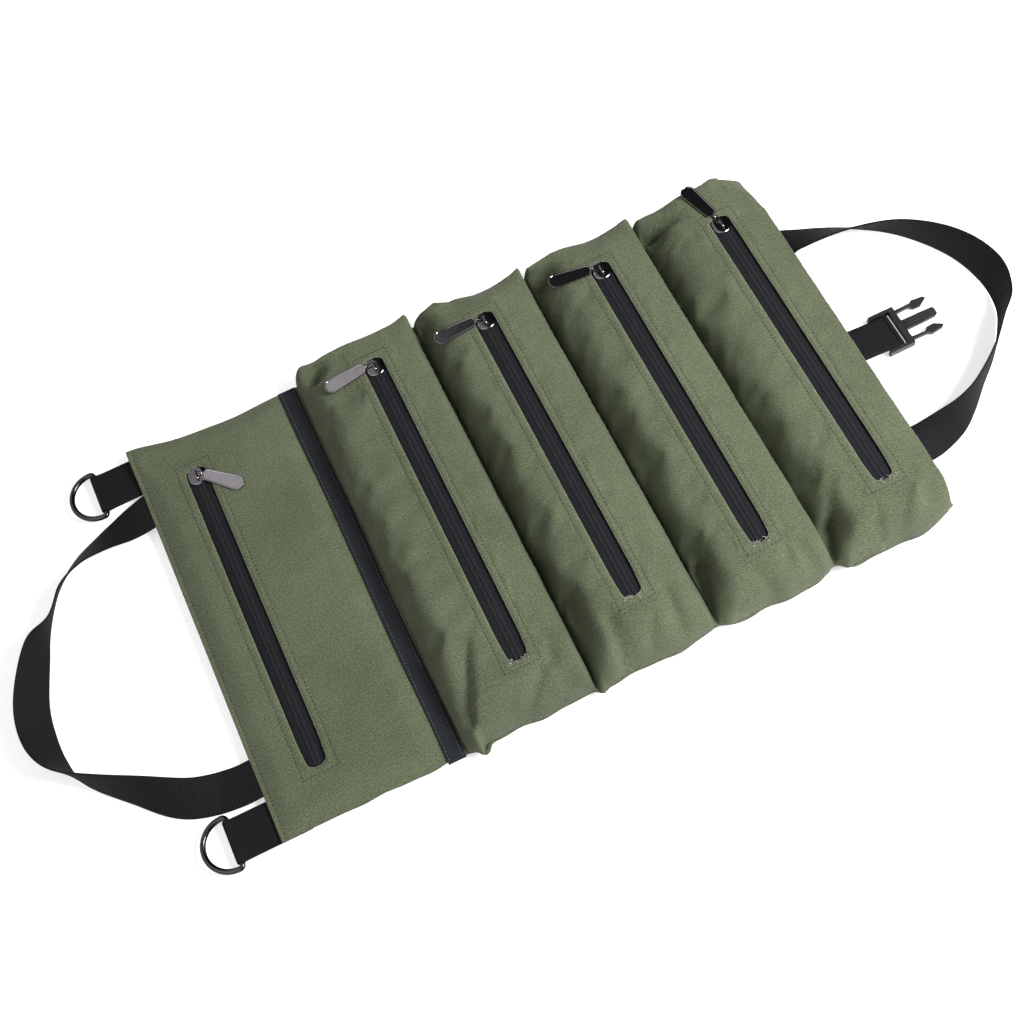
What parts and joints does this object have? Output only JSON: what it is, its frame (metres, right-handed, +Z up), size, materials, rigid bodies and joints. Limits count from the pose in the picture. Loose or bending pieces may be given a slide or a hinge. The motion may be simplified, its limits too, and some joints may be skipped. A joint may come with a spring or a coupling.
{
  "type": "zip-pocket tool roll",
  "caption": "Roll-up canvas tool bag with zip pockets side by side, webbing handles, D-rings and a buckle strap.",
  "frame": {"origin": "centre of the opened sheet's footprint, on the floor it lies on", "axes": "+X from the D-ring end to the buckle end, +Y towards the closed sliders, +Z up out of the pockets"},
  "size_m": [0.8815, 0.3701, 0.0507],
  "materials": {
    "canvas": "matt olive green twill canvas",
    "zip_tape": "black woven zip tape with a knitted centre",
    "zip_metal": "glossy gunmetal black plating",
    "ring_metal": "glossy gunmetal plating",
    "binding": "black woven tape",
    "webbing": "black ribbed polypropylene webbing",
    "buckle_plastic": "semi-matt black moulded plastic"
  },
  "bodies": {
    "panel_1": {"back_panel_1": "canvas", "pocket_1_front": "canvas", "zip_1_left_tape": "zip_tape", "zip_1_right_tape": "zip_tape", "edge_band": "binding", "d_ring_tab_upper": "webbing", "d_ring_tab_lower": "webbing"},
    "panel_2": {"back_panel_2": "canvas", "pocket_2_front": "canvas", "zip_2_left_tape": "zip_tape", "zip_2_right_tape": "zip_tape"},
    "panel_3": {"back_panel_3": "canvas", "pocket_3_front": "canvas", "zip_3_left_tape": "zip_tape", "zip_3_right_tape": "zip_tape"},
    "panel_4": {"back_panel_4": "canvas", "pocket_4_front": "canvas", "zip_4_left_tape": "zip_tape", "zip_4_right_tape": "zip_tape"},
    "panel_5": {"back_panel_5": "canvas", "pocket_5_front": "canvas", "zip_5_left_tape": "zip_tape", "zip_5_right_tape": "zip_tape"},
    "slider_1": {"zip_1_slider": "zip_metal"},
    "pull_ring_1": {"zip_1_pull_ring": "zip_metal"},
    "pull_tab_1": {"zip_1_pull_tab": "zip_metal"},
    "slider_2": {"zip_2_slider": "zip_metal"},
    "pull_ring_2": {"zip_2_pull_ring": "zip_metal"},
    "pull_tab_2": {"zip_2_pull_tab": "zip_metal"},
    "slider_3": {"zip_3_slider": "zip_metal"},
    "pull_ring_3": {"zip_3_pull_ring": "zip_metal"},
    "pull_tab_3": {"zip_3_pull_tab": "zip_metal"},
    "slider_4": {"zip_4_slider": "zip_metal"},
    "pull_ring_4": {"zip_4_pull_ring": "zip_metal"},
    "pull_tab_4": {"zip_4_pull_tab": "zip_metal"},
    "slider_5": {"zip_5_slider": "zip_metal"},
    "pull_ring_5": {"zip_5_pull_ring": "zip_metal"},
    "pull_tab_5": {"zip_5_pull_tab": "zip_metal"},
    "d_ring_upper": {"d_ring_upper": "ring_metal"},
    "d_ring_lower": {"d_ring_lower": "ring_metal"},
    "left_handle": {"left_handle": "webbing"},
    "right_handle": {"right_handle": "webbing"},
    "buckle_strap": {"buckle_strap": "webbing"},
    "buckle_male": {"buckle_male": "buckle_plastic"},
    "buckle_latch_upper": {"buckle_latch_upper": "buckle_plastic"},
    "buckle_latch_lower": {"buckle_latch_lower": "buckle_plastic"},
    "buckle_female_strap": {"buckle_female_strap": "webbing"},
    "buckle_female": {"buckle_female": "buckle_plastic"}
  },
  "joints": [
    {"name": "fold_23", "type": "hinge", "parent": "panel_3", "child": "panel_2", "pos_m": [-0.0245, 0, 0.01], "axis": [0, 1, 0], "range_deg": [-30, 45]},
    {"name": "fold_12", "type": "hinge", "parent": "panel_2", "child": "panel_1", "pos_m": [-0.1355, 0, 0.01], "axis": [0, 1, 0], "range_deg": [-30, 65]},
    {"name": "fold_34", "type": "hinge", "parent": "panel_3", "child": "panel_4", "pos_m": [0.0795, 0, 0.01], "axis": [0, -1, 0], "range_deg": [-30, 50]},
    {"name": "fold_45", "type": "hinge", "parent": "panel_4", "child": "panel_5", "pos_m": [0.1825, 0, 0.01], "axis": [0, -1, 0], "range_deg": [-30, 60]},
    {"name": "zip_1_slide", "type": "slide", "parent": "panel_1", "child": "slider_1", "axis": [0, -1, 0], "range_m": [0, 0.25]},
    {"name": "pull_1_swivel", "type": "hinge", "parent": "slider_1", "child": "pull_ring_1", "pos_m": [-0.2405, 0.1393, 0.01835], "axis": [0, 0, 1], "range_deg": [-5, 190]},
    {"name": "pull_1_lift", "type": "hinge", "parent": "pull_ring_1", "child": "pull_tab_1", "pos_m": [-0.23655, 0.13562, 0.01835], "axis": [0.682, 0.7314, 0], "range_deg": [-95, 0]},
    {"name": "zip_2_slide", "type": "slide", "parent": "panel_2", "child": "slider_2", "axis": [0, -1, 0], "range_m": [0, 0.25]},
    {"name": "pull_2_swivel", "type": "hinge", "parent": "slider_2", "child": "pull_ring_2", "pos_m": [-0.0695, 0.1453, 0.04785], "axis": [0, 0, 1], "range_deg": [-185, 40]},
    {"name": "pull_2_lift", "type": "hinge", "parent": "pull_ring_2", "child": "pull_tab_2", "pos_m": [-0.07487, 0.14474, 0.04785], "axis": [0.1045, -0.9945, 0], "range_deg": [-95, 0]},
    {"name": "zip_3_slide", "type": "slide", "parent": "panel_3", "child": "slider_3", "axis": [0, -1, 0], "range_m": [0, 0.25]},
    {"name": "pull_3_swivel", "type": "hinge", "parent": "slider_3", "child": "pull_ring_3", "pos_m": [0.0295, 0.1413, 0.04785], "axis": [0, 0, 1], "range_deg": [-182, 43]},
    {"name": "pull_3_lift", "type": "hinge", "parent": "pull_ring_3", "child": "pull_tab_3", "pos_m": [0.0241, 0.14111, 0.04785], "axis": [0.0349, -0.9994, 0], "range_deg": [-95, 0]},
    {"name": "zip_4_slide", "type": "slide", "parent": "panel_4", "child": "slider_4", "axis": [0, -1, 0], "range_m": [0, 0.25]},
    {"name": "pull_4_swivel", "type": "hinge", "parent": "slider_4", "child": "pull_ring_4", "pos_m": [0.1355, 0.1383, 0.04785], "axis": [0, 0, 1], "range_deg": [-173, 50]},
    {"name": "pull_4_lift", "type": "hinge", "parent": "pull_ring_4", "child": "pull_tab_4", "pos_m": [0.13014, 0.13896, 0.04785], "axis": [-0.1219, -0.9925, 0], "range_deg": [-95, 0]},
    {"name": "zip_5_slide", "type": "slide", "parent": "panel_5", "child": "slider_5", "axis": [0, -1, 0], "range_m": [0, 0.25]},
    {"name": "pull_5_swivel", "type": "hinge", "parent": "slider_5", "child": "pull_ring_5", "pos_m": [0.2435, 0.1303, 0.04785], "axis": [0, 0, 1], "range_deg": [-115, 115]},
    {"name": "pull_5_lift", "type": "hinge", "parent": "pull_ring_5", "child": "pull_tab_5", "pos_m": [0.2421, 0.13552, 0.04785], "axis": [-0.9659, -0.2588, 0], "range_deg": [-95, 0]},
    {"name": "d_ring_upper_swing", "type": "hinge", "parent": "panel_1", "child": "d_ring_upper", "pos_m": [-0.3215, 0.164, 0.0075], "axis": [0, 1, 0], "range_deg": [-90, 90]},
    {"name": "d_ring_lower_swing", "type": "hinge", "parent": "panel_1", "child": "d_ring_lower", "pos_m": [-0.3215, -0.1595, 0.0075], "axis": [0, 1, 0], "range_deg": [-90, 90]},
    {"name": "left_handle_swing", "type": "hinge", "parent": "panel_1", "child": "left_handle", "pos_m": [-0.2885, 0, 0.01], "axis": [0, -1, 0], "range_deg": [-90, 60]},
    {"name": "right_handle_swing", "type": "hinge", "parent": "panel_5", "child": "right_handle", "pos_m": [0.2885, 0, 0.01], "axis": [0, 1, 0], "range_deg": [-65, 60]},
    {"name": "buckle_strap_swing", "type": "hinge", "parent": "panel_5", "child": "buckle_strap", "pos_m": [0.2885, -0.01, 0.01], "axis": [0, 1, 0], "range_deg": [-70, 80]},
    {"name": "male_buckle_tilt", "type": "hinge", "parent": "buckle_strap", "child": "buckle_male", "pos_m": [0.331, -0.01, 0.005], "axis": [0, 1, 0], "range_deg": [-70, 70]},
    {"name": "latch_upper_squeeze", "type": "hinge", "parent": "buckle_male", "child": "buckle_latch_upper", "pos_m": [0.3419, 0.004, 0.005], "axis": [0, 0, -1], "range_deg": [0, 7]},
    {"name": "latch_lower_squeeze", "type": "hinge", "parent": "buckle_male", "child": "buckle_latch_lower", "pos_m": [0.3419, -0.024, 0.005], "axis": [0, 0, 1], "range_deg": [0, 7]},
    {"name": "female_strap_swing", "type": "hinge", "parent": "panel_1", "child": "buckle_female_strap", "pos_m": [-0.2115, -0.01, 0.00729], "axis": [0, 1, 0], "range_deg": [-75, 0]},
    {"name": "female_buckle_tilt", "type": "hinge", "parent": "buckle_female_strap", "child": "buckle_female", "pos_m": [-0.2335, -0.01, 0.0046], "axis": [0, 1, 0], "range_deg": [-60, 0]}
  ],
  "couplings": [
    {"joint": "latch_lower_squeeze", "follows": "latch_upper_squeeze", "ratio": 1}
  ]
}
